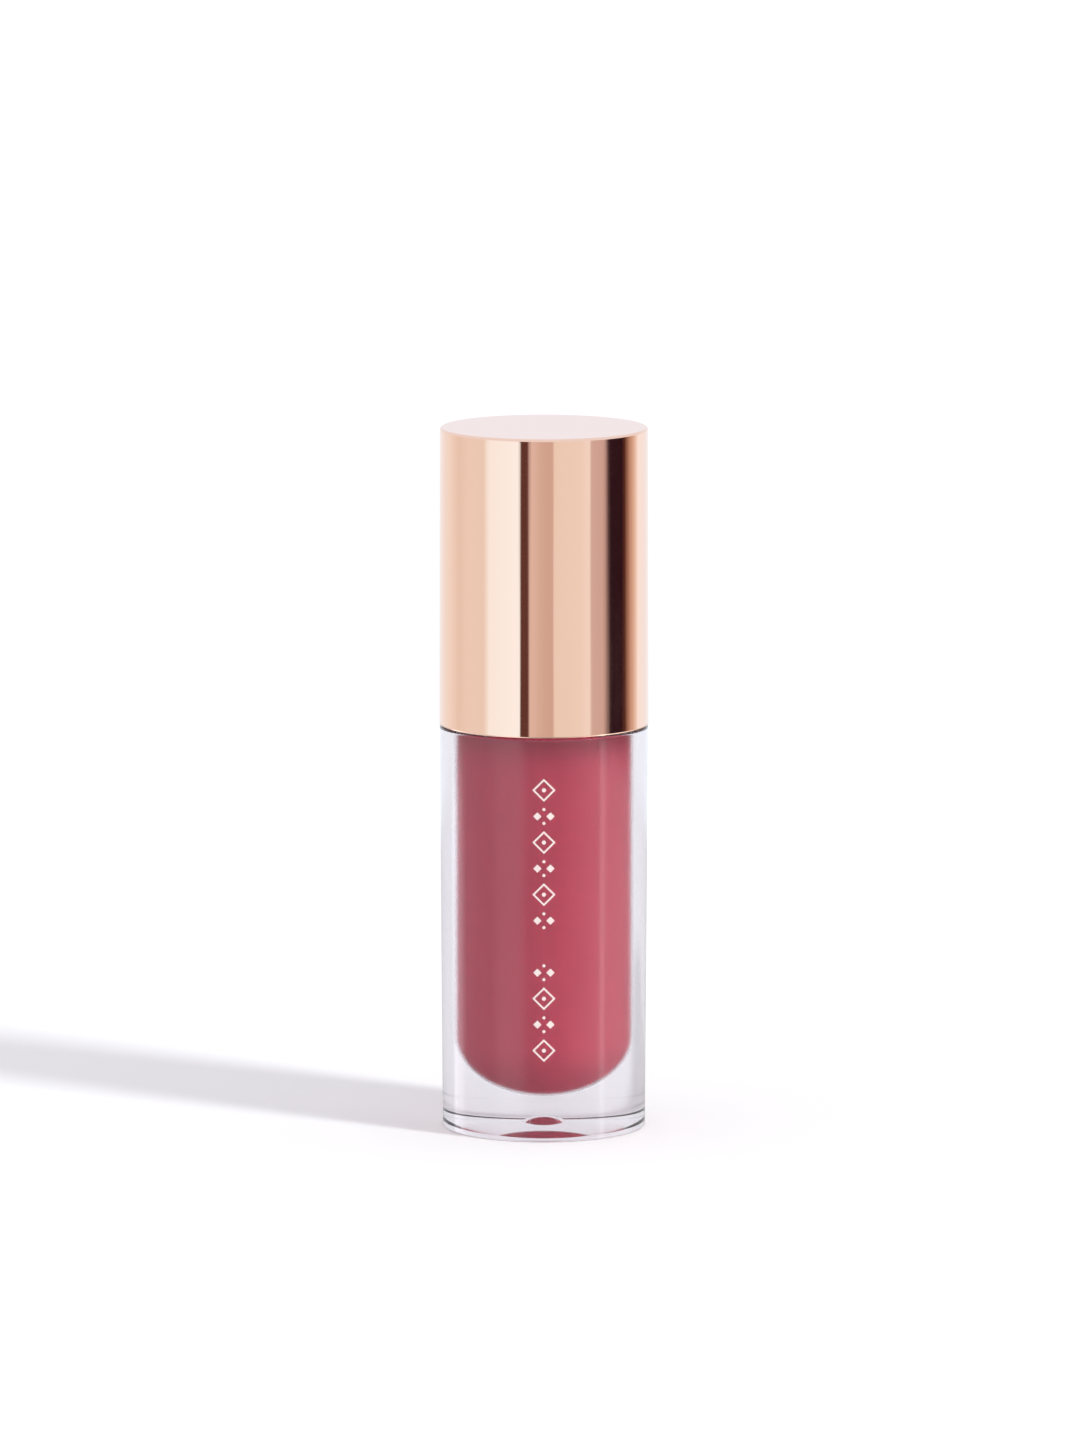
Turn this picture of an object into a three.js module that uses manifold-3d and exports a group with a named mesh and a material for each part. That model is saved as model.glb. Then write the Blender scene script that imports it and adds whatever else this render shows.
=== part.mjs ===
// A round lip gloss tube: a thick-walled clear bottle with a threaded neck, and a screw cap that carries
// the applicator. Millimetres, +Z up. The origin is the centre of the base, on the surface that the tube
// stands on, and the front of the tube faces -Y. It is drawn closed.

import * as THREE from 'three';
import { mergeVertices } from 'three/addons/utils/BufferGeometryUtils.js';
import Module from 'manifold-3d';

const wasm = await Module();
wasm.setup();

// ---- Driving dimensions ----

const SHOULDER_Z = 38.65;       // top of the bottle's body
const SHOULDER_RADIUS = 9.92;
const BASE_RADIUS = 9.68;       // a little less than at the shoulder, for mould draft
const BASE_FILLET = 0.15;
const SHOULDER_FILLET = 0.2;
const DISH_RADIUS = 6.6;         // hollow underside, a shallow dome
const DISH_DEPTH = 0.9;
const DIMPLE_RADIUS = 1.4;      // gate dimple in the middle of it
const DIMPLE_DEPTH = 0.6;

const BORE_RADIUS = 5.4;        // cavity and neck, one straight bore
const FLOOR_Z = 3.4;            // lowest point of the cavity
const BOWL_DEPTH = 5.1;         // height of the cavity's rounded bottom

const NECK_RADIUS = 6.5;
const NECK_HEIGHT = 13;
const NECK_FILLET = 0.4;
const LIP_BEVEL = 0.2;

const THREAD_PITCH = 3;
const THREAD_DEPTH = 0.75;
const THREAD_TURNS = 1.5;       // on the neck
const THREAD_START_Z = 44.5;
const CAP_THREAD_FROM = 0.25;   // the cap's thread starts this many turns up the neck's
const THREAD_PLAY = 0.2;        // radial play between each crest and the wall it faces
const THREAD_DROP = 1;          // the cap's ridge lies this far below the neck's
const THREAD_ROOT_WIDTH = 1.6;
const THREAD_CREST_WIDTH = 0.6;
const THREAD_BURIED = 0.4;      // how deep a ridge starts inside its wall
const THREAD_THINNEST = 0.1;    // its height there, at each of its ends
const THREAD_FADE = 4;          // steps over which a ridge grows out of its wall

const CAP_GAP = 0.12;           // between the bottle's shoulder and the cap
const CAP_HEIGHT = 28.43;
const CAP_RADIUS = 10;          // at its lower edge
const CAP_DRAFT = 0.08;         // how much less the radius is at the top
const CAP_WALL = 0.5;
const CAP_TOP_THICKNESS = 0.6;
const CAP_EDGE_FILLET = 0.25;

const WIPER_FLANGE = 0.8;
const WIPER_LENGTH = 8.6;       // below the neck's lip
const WIPER_WALL = 0.6;
const WIPER_CONE = 3.2;         // height of its cone
const ORIFICE_RADIUS = 2.2;
const HEADSPACE = 0.6;          // between the filling and the wiper
const MENISCUS = 0.3;           // how far the filling's surface dips below its edge
const CHANNEL_PLAY = 0.4;       // between the applicator and the way it keeps open in the filling

const WASHER_THICKNESS = 0.9;
const WASHER_RADIUS = 7;
const WASHER_HOLE_RADIUS = 3;
const WEIGHT_HEIGHT = 5.6;
const WEIGHT_BEVEL = 0.4;

const DECK_THICKNESS = 1.5;     // the deck closes the inner cap above the thread
const SKIRT_WALL = 1.15;
const SKIRT_SET_BACK = 0.3;     // from the shell's lower edge
const SKIRT_HEADROOM = 0.4;     // of the skirt above the weight
const RING_HEIGHT = 1.2;        // of the rings that meet the shell at both ends of the skirt
const RIB_COUNT = 12;
const RIB_WIDTH = 0.9;          // of the ribs and of the webs
const SOCKET_HEIGHT = 4.5;
const SOCKET_RADIUS = 3.6;
const SNAP_LEDGE = 1.1;         // height above the deck of the ledge that the stem's head snaps over

const STEM_RADIUS = 1.7;
const STEM_COLLAR_RADIUS = 2.6;
const STEM_COLLAR_HEIGHT = 0.8;
const STEM_NECK_RADIUS = 1.95;
const STEM_HEAD_RADIUS = 2.5;
const STEM_HEAD_HEIGHT = 1.2;   // of its straight part
const STEM_HEAD_TAPER = 1;
const STEM_HOLE_DEPTH = 4.4;
const CORE_SHANK_RADIUS = 1.1;

const FLOCK_RADIUS = 2;
const FLOCK_THICKNESS = 0.4;
const FLOCK_TOP_FILLET = 0.5;
const FLOCK_TOP_Z = 19;
const TIP_Z = 5.3;              // lowest point of the applicator
const TIP_TOE = 0.6;            // height of the slanted face's lower edge above it
const TIP_SLANT = THREE.MathUtils.degToRad(30);   // the slanted face's angle to the axis

const FIT = 0.1;                // gap between fixed neighbours
const PLAY = 0.15;              // gap beside something that moves
const FILL_GAP = 0.02;          // between the filling and the cavity's wall

const SIDES = 48;               // of each large round piece
const SMALL_SIDES = 24;         // of the stem and the tip

// ---- Heights and radii worked out from them ----

const LIP_Z = SHOULDER_Z + NECK_HEIGHT;
const CAP_Z = SHOULDER_Z + CAP_GAP;
const TOP_Z = CAP_Z + CAP_HEIGHT;
const FLANGE_Z = LIP_Z + FIT / 2;
const WASHER_Z = FLANGE_Z + WIPER_FLANGE + PLAY;
const DECK_Z = WASHER_Z + WASHER_THICKNESS + PLAY;    // underside of the inner cap's deck
const DECK_TOP_Z = DECK_Z + DECK_THICKNESS;
const SNAP_Z = DECK_TOP_Z + SNAP_LEDGE;
const SOCKET_TOP_Z = DECK_TOP_Z + SOCKET_HEIGHT;
const WEIGHT_Z = SOCKET_TOP_Z + PLAY;
const SKIRT_Z = CAP_Z + SKIRT_SET_BACK;
const SKIRT_TOP_Z = WEIGHT_Z + WEIGHT_HEIGHT + SKIRT_HEADROOM;
const STEM_Z = FLOCK_TOP_Z + 2 * FIT;
const STEM_HOLE_TOP_Z = STEM_Z + STEM_HOLE_DEPTH;

const WIPER_RADIUS = BORE_RADIUS - FIT;
const CHANNEL_RADIUS = FLOCK_RADIUS + CHANNEL_PLAY;
const CAP_BORE_RADIUS = NECK_RADIUS + THREAD_DEPTH + THREAD_PLAY;
const WEIGHT_RADIUS = CAP_BORE_RADIUS - 2 * PLAY;
const SKIRT_RADIUS = CAP_BORE_RADIUS + SKIRT_WALL;
const RIB_RADIUS = CAP_RADIUS - CAP_DRAFT - CAP_WALL - 2 * FIT;
const CORE_RADIUS = FLOCK_RADIUS - FLOCK_THICKNESS - FIT;

// ---- Helpers ----

const at = (radius, z) => new THREE.Vector2(radius, z);

// Points on an arc in the (radius, z) plane, from one angle to another in degrees, anticlockwise from the
// outward direction. The arc can have its own height, which makes it part of an ellipse.
function arc(radius, z, size, from, to, steps, height = size) {
  return Array.from({ length: steps + 1 }, (_, i) => {
    const angle = THREE.MathUtils.degToRad(from + ((to - from) * i) / steps);
    return at(radius + size * Math.cos(angle), z + height * Math.sin(angle));
  });
}

// The solid that an outline sweeps round the Z axis. The outline keeps the material on its left.
function turned(outline, sides = SIDES) {
  return new THREE.LatheGeometry(outline, sides).rotateX(Math.PI / 2);
}

// A round piece whose outline closes on itself.
function ring(outline, sides = SIDES) {
  return turned([...outline, outline[0]], sides);
}

function toSolid(geometry) {
  const bare = geometry.clone();
  bare.deleteAttribute('normal');
  bare.deleteAttribute('uv');
  const merged = mergeVertices(bare, 1e-5);
  const corners = merged.index.array;
  const triangles = [];
  for (let i = 0; i < corners.length; i += 3) {
    const [a, b, c] = corners.slice(i, i + 3);
    if (a !== b && b !== c && c !== a) triangles.push(a, b, c);
  }
  return new wasm.Manifold(new wasm.Mesh({
    numProp: 3,
    vertProperties: new Float32Array(merged.attributes.position.array),
    triVerts: new Uint32Array(triangles),
  }));
}

function toGeometry(solid) {
  const mesh = solid.getMesh();
  const geometry = new THREE.BufferGeometry();
  geometry.setAttribute('position', new THREE.BufferAttribute(new Float32Array(mesh.vertProperties), 3));
  geometry.setIndex(new THREE.BufferAttribute(new Uint32Array(mesh.triVerts), 1));
  geometry.computeVertexNormals();
  return geometry;
}

function joined(...geometries) {
  return toGeometry(geometries.map(toSolid).reduce((whole, next) => whole.add(next)));
}

function cut(geometry, ...tools) {
  return toGeometry(tools.map(toSolid).reduce((whole, tool) => whole.subtract(tool), toSolid(geometry)));
}

// A ridge that climbs one pitch a turn, anticlockwise seen from above, which makes a right-hand thread.
// It stands on a wall and reaches towards crestRadius, and it grows out of the wall at each end.
function threadRidge(wallRadius, crestRadius, fromTurn, toTurn, drop = 0) {
  const outwards = Math.sign(crestRadius - wallRadius);
  const rootRadius = wallRadius - outwards * THREAD_BURIED;
  const first = Math.round(fromTurn * SIDES);
  const last = Math.round(toTurn * SIDES);
  const positions = [];
  for (let step = first; step <= last; step++) {
    const grown = Math.min(1, (step - first) / THREAD_FADE, (last - step) / THREAD_FADE);
    const crest = THREE.MathUtils.lerp(rootRadius + outwards * THREAD_THINNEST, crestRadius, grown);
    const turn = step / SIDES;
    const z = THREAD_START_Z + THREAD_PITCH * turn - drop;
    const section = [
      [rootRadius, z - THREAD_ROOT_WIDTH / 2],
      [crest, z - THREAD_CREST_WIDTH / 2],
      [crest, z + THREAD_CREST_WIDTH / 2],
      [rootRadius, z + THREAD_ROOT_WIDTH / 2],
    ];
    for (const [radius, height] of section) {
      const angle = 2 * Math.PI * turn;
      positions.push(radius * Math.cos(angle), radius * Math.sin(angle), height);
    }
  }
  const index = [];
  const quad = (a, b, c, d) => (outwards > 0 ? index.push(a, b, c, a, c, d) : index.push(a, c, b, a, d, c));
  for (let step = 0; step < last - first; step++) {
    for (let side = 0; side < 4; side++) {
      const here = 4 * step + side;
      const next = 4 * step + ((side + 1) % 4);
      quad(here, here + 4, next + 4, next);
    }
  }
  const end = 4 * (last - first);
  quad(0, 1, 2, 3);
  quad(end + 3, end + 2, end + 1, end);
  const geometry = new THREE.BufferGeometry();
  geometry.setAttribute('position', new THREE.Float32BufferAttribute(positions, 3));
  geometry.setIndex(index);
  return geometry;
}

function piece(name, geometry, material) {
  const mesh = new THREE.Mesh(geometry, new THREE.MeshStandardMaterial(material));
  mesh.name = name;
  return mesh;
}

// ---- Bottle side ----

// The cavity's rounded bottom, from the wall to the axis or back.
function bowl(gap, from, to) {
  return arc(0, FLOOR_Z + BOWL_DEPTH, BORE_RADIUS - gap, from, to, 9, BOWL_DEPTH - gap);
}

// A shallow dome that stands on a circle, from one radius out to another.
function dome(edgeRadius, edgeZ, rise, fromRadius, toRadius, steps) {
  const sphere = (edgeRadius ** 2 + rise ** 2) / (2 * rise);
  const centreZ = edgeZ + rise - sphere;
  return Array.from({ length: steps + 1 }, (_, i) => {
    const radius = THREE.MathUtils.lerp(fromRadius, toRadius, i / steps);
    return at(radius, centreZ + Math.sqrt(sphere ** 2 - radius ** 2));
  });
}

function bottle() {
  const dish = dome(DISH_RADIUS, 0, DISH_DEPTH, DIMPLE_RADIUS, DISH_RADIUS, 5);
  const dimple = dome(DIMPLE_RADIUS, dish[0].y, DIMPLE_DEPTH, 0, DIMPLE_RADIUS, 4);
  const body = turned([
    ...dimple,
    ...dish.slice(1),
    ...arc(BASE_RADIUS - BASE_FILLET, BASE_FILLET, BASE_FILLET, -90, 0, 4),
    ...arc(SHOULDER_RADIUS - SHOULDER_FILLET, SHOULDER_Z - SHOULDER_FILLET, SHOULDER_FILLET, 0, 90, 4),
    ...arc(NECK_RADIUS + NECK_FILLET, SHOULDER_Z + NECK_FILLET, NECK_FILLET, 270, 180, 3),
    at(NECK_RADIUS, LIP_Z - LIP_BEVEL),
    at(NECK_RADIUS - LIP_BEVEL, LIP_Z),
    at(BORE_RADIUS + LIP_BEVEL, LIP_Z),
    at(BORE_RADIUS, LIP_Z - LIP_BEVEL),
    ...bowl(0, 0, -90),
  ]);
  return joined(body, threadRidge(NECK_RADIUS, NECK_RADIUS + THREAD_DEPTH, 0, THREAD_TURNS));
}

// A sleeve with a flange on the neck's lip and a cone that narrows to the orifice.
function wiper() {
  const bottomZ = LIP_Z - WIPER_LENGTH;
  const coneZ = bottomZ + WIPER_CONE;
  const topZ = FLANGE_Z + WIPER_FLANGE;
  const innerRadius = WIPER_RADIUS - WIPER_WALL;
  const flangeRadius = NECK_RADIUS - FIT;
  const bevel = 0.15;
  const lipWidth = 0.5;
  const lipHeight = 0.7;
  return ring([
    at(ORIFICE_RADIUS, bottomZ),
    at(ORIFICE_RADIUS + lipWidth, bottomZ),
    at(WIPER_RADIUS, coneZ),
    at(WIPER_RADIUS, FLANGE_Z),
    at(flangeRadius, FLANGE_Z),
    at(flangeRadius, topZ - bevel),
    at(flangeRadius - bevel, topZ),
    at(innerRadius + 2 * bevel, topZ),
    at(innerRadius, topZ - 2 * bevel),
    at(innerRadius, coneZ + 2 * FIT),
    at(ORIFICE_RADIUS, bottomZ + lipHeight),
  ]);
}

// The gloss, up to just below the wiper, with a blind channel where the applicator stands in it.
function glossFill() {
  const edgeZ = LIP_Z - WIPER_LENGTH - HEADSPACE;
  return turned([
    ...bowl(FILL_GAP, -90, 0),
    at(BORE_RADIUS - FILL_GAP, edgeZ),
    at(BORE_RADIUS - 2 * MENISCUS, edgeZ - MENISCUS),
    at(CHANNEL_RADIUS, edgeZ - MENISCUS),
    ...arc(0, TIP_Z + FLOCK_RADIUS, CHANNEL_RADIUS, 0, -90, 5),
  ]);
}

// ---- Loose pieces between the bottle and the cap ----

function sealingWasher() {
  return ring([
    at(WASHER_HOLE_RADIUS, WASHER_Z),
    at(WASHER_RADIUS, WASHER_Z),
    at(WASHER_RADIUS, WASHER_Z + WASHER_THICKNESS),
    at(WASHER_HOLE_RADIUS, WASHER_Z + WASHER_THICKNESS),
  ]);
}

function capWeight() {
  const topZ = WEIGHT_Z + WEIGHT_HEIGHT;
  return turned([
    at(0, WEIGHT_Z),
    at(WEIGHT_RADIUS - WEIGHT_BEVEL, WEIGHT_Z),
    at(WEIGHT_RADIUS, WEIGHT_Z + WEIGHT_BEVEL),
    at(WEIGHT_RADIUS, topZ - WEIGHT_BEVEL),
    at(WEIGHT_RADIUS - WEIGHT_BEVEL, topZ),
    at(0, topZ),
  ]);
}

// ---- Cap side ----

function capShell() {
  const topRadius = CAP_RADIUS - CAP_DRAFT;
  const innerTopZ = TOP_Z - CAP_TOP_THICKNESS;
  const innerRadius = CAP_RADIUS - CAP_WALL;
  const innerFillet = CAP_EDGE_FILLET;
  const lowerBevel = 0.08;
  return turned([
    at(0, innerTopZ),
    ...arc(topRadius - CAP_WALL - innerFillet, innerTopZ - innerFillet, innerFillet, 90, 0, 2),
    at(innerRadius, CAP_Z + lowerBevel),
    at(innerRadius + lowerBevel, CAP_Z),
    at(CAP_RADIUS - lowerBevel, CAP_Z),
    at(CAP_RADIUS, CAP_Z + lowerBevel),
    ...arc(topRadius - CAP_EDGE_FILLET, TOP_Z - CAP_EDGE_FILLET, CAP_EDGE_FILLET, 0, 90, 3),
    at(0, TOP_Z),
  ]);
}

// Upright ribs round the skirt, which centre it in the metal shell.
function ribs() {
  const buried = 0.3;
  const depth = RIB_RADIUS - SKIRT_RADIUS + buried;
  const height = SKIRT_TOP_Z - SKIRT_Z - RING_HEIGHT;
  return Array.from({ length: RIB_COUNT }, (_, i) =>
    new THREE.BoxGeometry(depth, RIB_WIDTH, height)
      .translate(RIB_RADIUS - depth / 2, 0, (SKIRT_Z + SKIRT_TOP_Z) / 2)
      .rotateZ((2 * Math.PI * i) / RIB_COUNT));
}

// Two crossed webs that stiffen the deck and carry the weight.
function webs() {
  const buried = 0.5;
  const length = 2 * (CAP_BORE_RADIUS + buried);
  const height = SOCKET_HEIGHT + buried;
  return [0, Math.PI / 2].map((angle) =>
    new THREE.BoxGeometry(length, RIB_WIDTH, height)
      .translate(0, 0, SOCKET_TOP_Z - height / 2)
      .rotateZ(angle));
}

// The threaded plastic part inside the shell: skirt, deck, and the socket that the stem snaps into.
function innerCap() {
  const leadWidth = 0.3;
  const leadHeight = 0.7;
  const body = turned([
    at(0, DECK_Z),
    at(CAP_BORE_RADIUS, DECK_Z),
    at(CAP_BORE_RADIUS, SKIRT_Z + leadHeight),
    at(CAP_BORE_RADIUS + leadWidth, SKIRT_Z),
    at(RIB_RADIUS, SKIRT_Z),
    at(RIB_RADIUS, SKIRT_Z + RING_HEIGHT),
    at(SKIRT_RADIUS, SKIRT_Z + RING_HEIGHT),
    at(SKIRT_RADIUS, SKIRT_TOP_Z - RING_HEIGHT),
    at(RIB_RADIUS, SKIRT_TOP_Z - RING_HEIGHT),
    at(RIB_RADIUS, SKIRT_TOP_Z),
    at(CAP_BORE_RADIUS, SKIRT_TOP_Z),
    at(CAP_BORE_RADIUS, DECK_TOP_Z),
    at(SOCKET_RADIUS, DECK_TOP_Z),
    at(SOCKET_RADIUS, SOCKET_TOP_Z),
    at(0, SOCKET_TOP_Z),
  ]);
  const past = 1;
  const socket = turned([
    at(0, DECK_Z - past),
    at(STEM_NECK_RADIUS + PLAY, DECK_Z - past),
    at(STEM_NECK_RADIUS + PLAY, SNAP_Z),
    at(STEM_HEAD_RADIUS + PLAY, SNAP_Z),
    at(STEM_HEAD_RADIUS + PLAY, SOCKET_TOP_Z + past),
    at(0, SOCKET_TOP_Z + past),
  ]);
  const thread = threadRidge(
    CAP_BORE_RADIUS, CAP_BORE_RADIUS - THREAD_DEPTH, CAP_THREAD_FROM, THREAD_TURNS, THREAD_DROP);
  return cut(joined(body, ...ribs(), ...webs(), thread), socket);
}

function stem() {
  const bevel = 0.15;
  const collarTopZ = DECK_Z - FIT;
  const collarZ = collarTopZ - STEM_COLLAR_HEIGHT;
  const headZ = SNAP_Z + FIT;
  const headTopZ = headZ + STEM_HEAD_HEIGHT + STEM_HEAD_TAPER;
  return turned([
    at(0, STEM_HOLE_TOP_Z),
    at(CORE_SHANK_RADIUS + FIT, STEM_HOLE_TOP_Z),
    at(CORE_SHANK_RADIUS + FIT, STEM_Z),
    at(STEM_RADIUS - bevel, STEM_Z),
    at(STEM_RADIUS, STEM_Z + bevel),
    at(STEM_RADIUS, collarZ - (STEM_COLLAR_RADIUS - STEM_RADIUS)),
    at(STEM_COLLAR_RADIUS, collarZ),
    at(STEM_COLLAR_RADIUS, collarTopZ),
    at(STEM_NECK_RADIUS, collarTopZ),
    at(STEM_NECK_RADIUS, headZ),
    at(STEM_HEAD_RADIUS, headZ),
    at(STEM_HEAD_RADIUS, headZ + STEM_HEAD_HEIGHT),
    at(STEM_NECK_RADIUS, headTopZ),
    at(0, headTopZ),
  ], SMALL_SIDES);
}

// A block with one face on the applicator's slanted plane, moved inwards by inset.
function slantBlock(inset) {
  const size = 20;
  const outwards = new THREE.Vector3(0, -Math.cos(TIP_SLANT), -Math.sin(TIP_SLANT));
  const turn = new THREE.Quaternion().setFromUnitVectors(new THREE.Vector3(0, 0, 1), outwards);
  const lowerEdge = new THREE.Vector3(0, FLOCK_RADIUS / 2, TIP_Z + TIP_TOE);
  const corner = lowerEdge.addScaledVector(outwards, -inset);
  return new THREE.BoxGeometry(size, size, size)
    .translate(0, 0, size / 2)
    .applyQuaternion(turn)
    .translate(corner.x, corner.y, corner.z);
}

// The core's outline, grown by a gap where it is used to hollow the flocking.
function coreOutline(gap) {
  const shoulder = 0.6;
  const topZ = STEM_HOLE_TOP_Z - 2 * FIT;
  return [
    ...arc(0, TIP_Z + FLOCK_RADIUS, CORE_RADIUS + gap, -90, 0, 5),
    at(CORE_RADIUS + gap, FLOCK_TOP_Z - 2 * shoulder),
    at(CORE_SHANK_RADIUS + gap, FLOCK_TOP_Z - shoulder),
    at(CORE_SHANK_RADIUS + gap, topZ),
    at(0, topZ),
  ];
}

function tipCore() {
  return cut(turned(coreOutline(0), SMALL_SIDES), slantBlock(FLOCK_THICKNESS + FIT));
}

function tipFlocking() {
  const outside = turned([
    ...arc(0, TIP_Z + FLOCK_RADIUS, FLOCK_RADIUS, -90, 0, 6),
    ...arc(FLOCK_RADIUS - FLOCK_TOP_FILLET, FLOCK_TOP_Z - FLOCK_TOP_FILLET, FLOCK_TOP_FILLET, 0, 90, 3),
    at(0, FLOCK_TOP_Z),
  ], SMALL_SIDES);
  const inside = cut(turned(coreOutline(FIT), SMALL_SIDES), slantBlock(FLOCK_THICKNESS));
  return cut(outside, slantBlock(0), inside);
}

// ---- Assembly ----

const tube = new THREE.Group();
tube.add(
  piece('bottle', bottle(), { color: 0xe8e4ea, roughness: 0.03, transparent: true, opacity: 0.35 }),
  piece('wiper', wiper(), { color: 0xf1efec, roughness: 0.4 }),
  piece('gloss_fill', glossFill(), { color: 0xad5264, roughness: 0.15 }),
  piece('sealing_washer', sealingWasher(), { color: 0xf4f2ef, roughness: 0.8 }),
  piece('cap_weight', capWeight(), { color: 0x9fa2a6, roughness: 0.4, metalness: 1 }),
  piece('cap_shell', capShell(), { color: 0xe6b99a, roughness: 0.12, metalness: 1 }),
  piece('inner_cap', innerCap(), { color: 0xf3f1ee, roughness: 0.35 }),
  piece('stem', stem(), { color: 0xf3f1ee, roughness: 0.25 }),
  piece('tip_core', tipCore(), { color: 0xefe6e4, roughness: 0.5 }),
  piece('tip_flocking', tipFlocking(), { color: 0xb86474, roughness: 0.9 }),
);

export default tube;
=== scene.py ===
"""The looks of a lip gloss tube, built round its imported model. Metres, +Z up, and the front faces -Y.

Outlines are written in millimetres as (radius, height) points, like the part's own source.
"""

import math

import bpy
import numpy as np
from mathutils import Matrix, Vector


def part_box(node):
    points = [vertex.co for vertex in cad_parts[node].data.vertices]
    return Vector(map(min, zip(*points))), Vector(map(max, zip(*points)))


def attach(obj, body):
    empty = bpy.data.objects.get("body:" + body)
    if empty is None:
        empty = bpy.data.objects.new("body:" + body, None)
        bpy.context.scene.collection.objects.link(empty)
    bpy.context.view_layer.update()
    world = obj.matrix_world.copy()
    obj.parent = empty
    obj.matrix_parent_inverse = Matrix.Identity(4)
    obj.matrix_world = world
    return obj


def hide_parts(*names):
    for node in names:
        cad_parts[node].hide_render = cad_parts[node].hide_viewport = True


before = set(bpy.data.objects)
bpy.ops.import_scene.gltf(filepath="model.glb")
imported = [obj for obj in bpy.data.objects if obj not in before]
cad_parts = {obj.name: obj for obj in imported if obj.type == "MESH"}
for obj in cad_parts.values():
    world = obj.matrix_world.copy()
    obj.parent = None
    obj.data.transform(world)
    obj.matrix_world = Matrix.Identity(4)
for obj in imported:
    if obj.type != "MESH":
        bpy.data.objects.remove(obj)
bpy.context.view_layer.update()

MM = 0.001
TINY = 1e-6                     # two sizes in millimetres that differ by less are the same


def box_mm(node):
    """A CAD node's outer radius, lowest height and highest height, in millimetres."""
    low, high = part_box(node)
    return high.x / MM, low.z / MM, high.z / MM


# ---- Sizes from the frame ----

SHOULDER_RADIUS, _, LIP_Z = box_mm("bottle")
CAP_RADIUS, CAP_Z, TOP_Z = box_mm("cap_shell")
FILL_RADIUS, FILL_Z, LEVEL_Z = box_mm("gloss_fill")
FLANGE_RADIUS, WIPER_Z, FLANGE_TOP_Z = box_mm("wiper")
WASHER_RADIUS, WASHER_Z, WASHER_TOP_Z = box_mm("sealing_washer")
WEIGHT_RADIUS, WEIGHT_Z, WEIGHT_TOP_Z = box_mm("cap_weight")
RIB_RADIUS, SKIRT_Z, SKIRT_TOP_Z = box_mm("inner_cap")
COLLAR_RADIUS, STEM_Z, STEM_TOP_Z = box_mm("stem")
CORE_RADIUS, _, CORE_TOP_Z = box_mm("tip_core")
FLOCK_RADIUS, _, FLOCK_TOP_Z = box_mm("tip_flocking")

# ---- Sizes that the boxes don't give ----

CAP_GAP = 0.12
SHOULDER_Z = CAP_Z - CAP_GAP
BASE_RADIUS = SHOULDER_RADIUS - 0.24
BASE_FILLET = 0.15
SHOULDER_FILLET = 0.2
DISH_RADIUS = 6.6               # hollow underside, a shallow dome with the gate's dimple in its middle
DISH_DEPTH = 0.9
DIMPLE_RADIUS = 1.4
DIMPLE_DEPTH = 0.6
FILL_GAP = 0.02
BORE_RADIUS = FILL_RADIUS + FILL_GAP
FLOOR_Z = FILL_Z - FILL_GAP
BOWL_DEPTH = 5.1

NECK_RADIUS = 6.5
NECK_FILLET = 0.4
THREAD_PITCH = 3
THREAD_DEPTH = 0.75
THREAD_TURNS = 1.5
THREAD_START_Z = 44.5
CAP_THREAD_FROM = 0.25
CAP_THREAD_DROP = 1
THREAD_ROOT = 0.63              # half the ridge's width at its wall
THREAD_CREST = 0.28             # half its width at the crest
THREAD_FADE = 0.09              # turns over which a ridge grows out of its wall
CAP_BORE_RADIUS = NECK_RADIUS + THREAD_DEPTH + 0.2

CAP_DRAFT = 0.08
CAP_WALL = 0.5
CAP_TOP_THICKNESS = 0.6
CAP_EDGE_FILLET = 0.25

SKIRT_RADIUS = CAP_BORE_RADIUS + 1.15
DECK_Z = WASHER_TOP_Z + 0.15
DECK_TOP_Z = DECK_Z + 1.5
SOCKET_TOP_Z = DECK_TOP_Z + 4.5
RIB_COUNT = 12
WEB_COUNT = 4
RIB_WIDTH = 0.9
SNAP_Z = DECK_TOP_Z + 1.1
STEM_RADIUS = 1.7
STEM_NECK_RADIUS = STEM_RADIUS + 0.25
STEM_HEAD_RADIUS = STEM_RADIUS + 0.8
CORE_SHANK_RADIUS = 1.1
WIPER_WALL = 0.6
ORIFICE_RADIUS = 2.2
FLOCK_THICKNESS = 0.4
TIP_Z = 5.3
TIP_SLANT = math.radians(30)

FINE = 256                      # sides of the large pieces
MEDIUM = 160
SMALL = 96
GRIP = 0.06                     # how near a corner a straight run's extra point lies
TIP_GRIP = 0.03
SHARP_ANGLE = math.radians(38)

# ---- Mesh helpers ----


def arc(radius, height, size, start, end, steps, tall=None):
    """Points on an arc in the (radius, height) plane, angles in degrees from the outward direction."""
    tall = size if tall is None else tall
    angles = [math.radians(start + (end - start) * i / steps) for i in range(steps + 1)]
    return [(radius + size * math.cos(a), height + tall * math.sin(a)) for a in angles]


def held(outline, closed, grip):
    """The outline with a point near each end of every long straight run, so that flat faces shade flat."""
    out = []
    count = len(outline)
    for i, here in enumerate(outline):
        out.append(here)
        if i == count - 1 and not closed:
            break
        there = outline[(i + 1) % count]
        length = math.dist(here, there)
        if length > 6 * grip:
            for share in (grip / length, 1 - grip / length):
                out.append(tuple(a + (b - a) * share for a, b in zip(here, there)))
    return out


def runs(start, end, steps):
    """Evenly spaced points on a straight run, both ends included."""
    return [tuple(a + (b - a) * i / steps for a, b in zip(start, end)) for i in range(steps + 1)]


def mesh_object(name, points, faces):
    """A mesh that shades smooth except across edges sharper than SHARP_ANGLE."""
    mesh = bpy.data.meshes.new(name)
    mesh.from_pydata([tuple(p) for p in points], [], faces)
    mesh.validate()
    mesh.shade_smooth()
    mesh.set_sharp_from_angle(angle=SHARP_ANGLE)
    obj = bpy.data.objects.new(name, mesh)
    bpy.context.scene.collection.objects.link(obj)
    return obj


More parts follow.
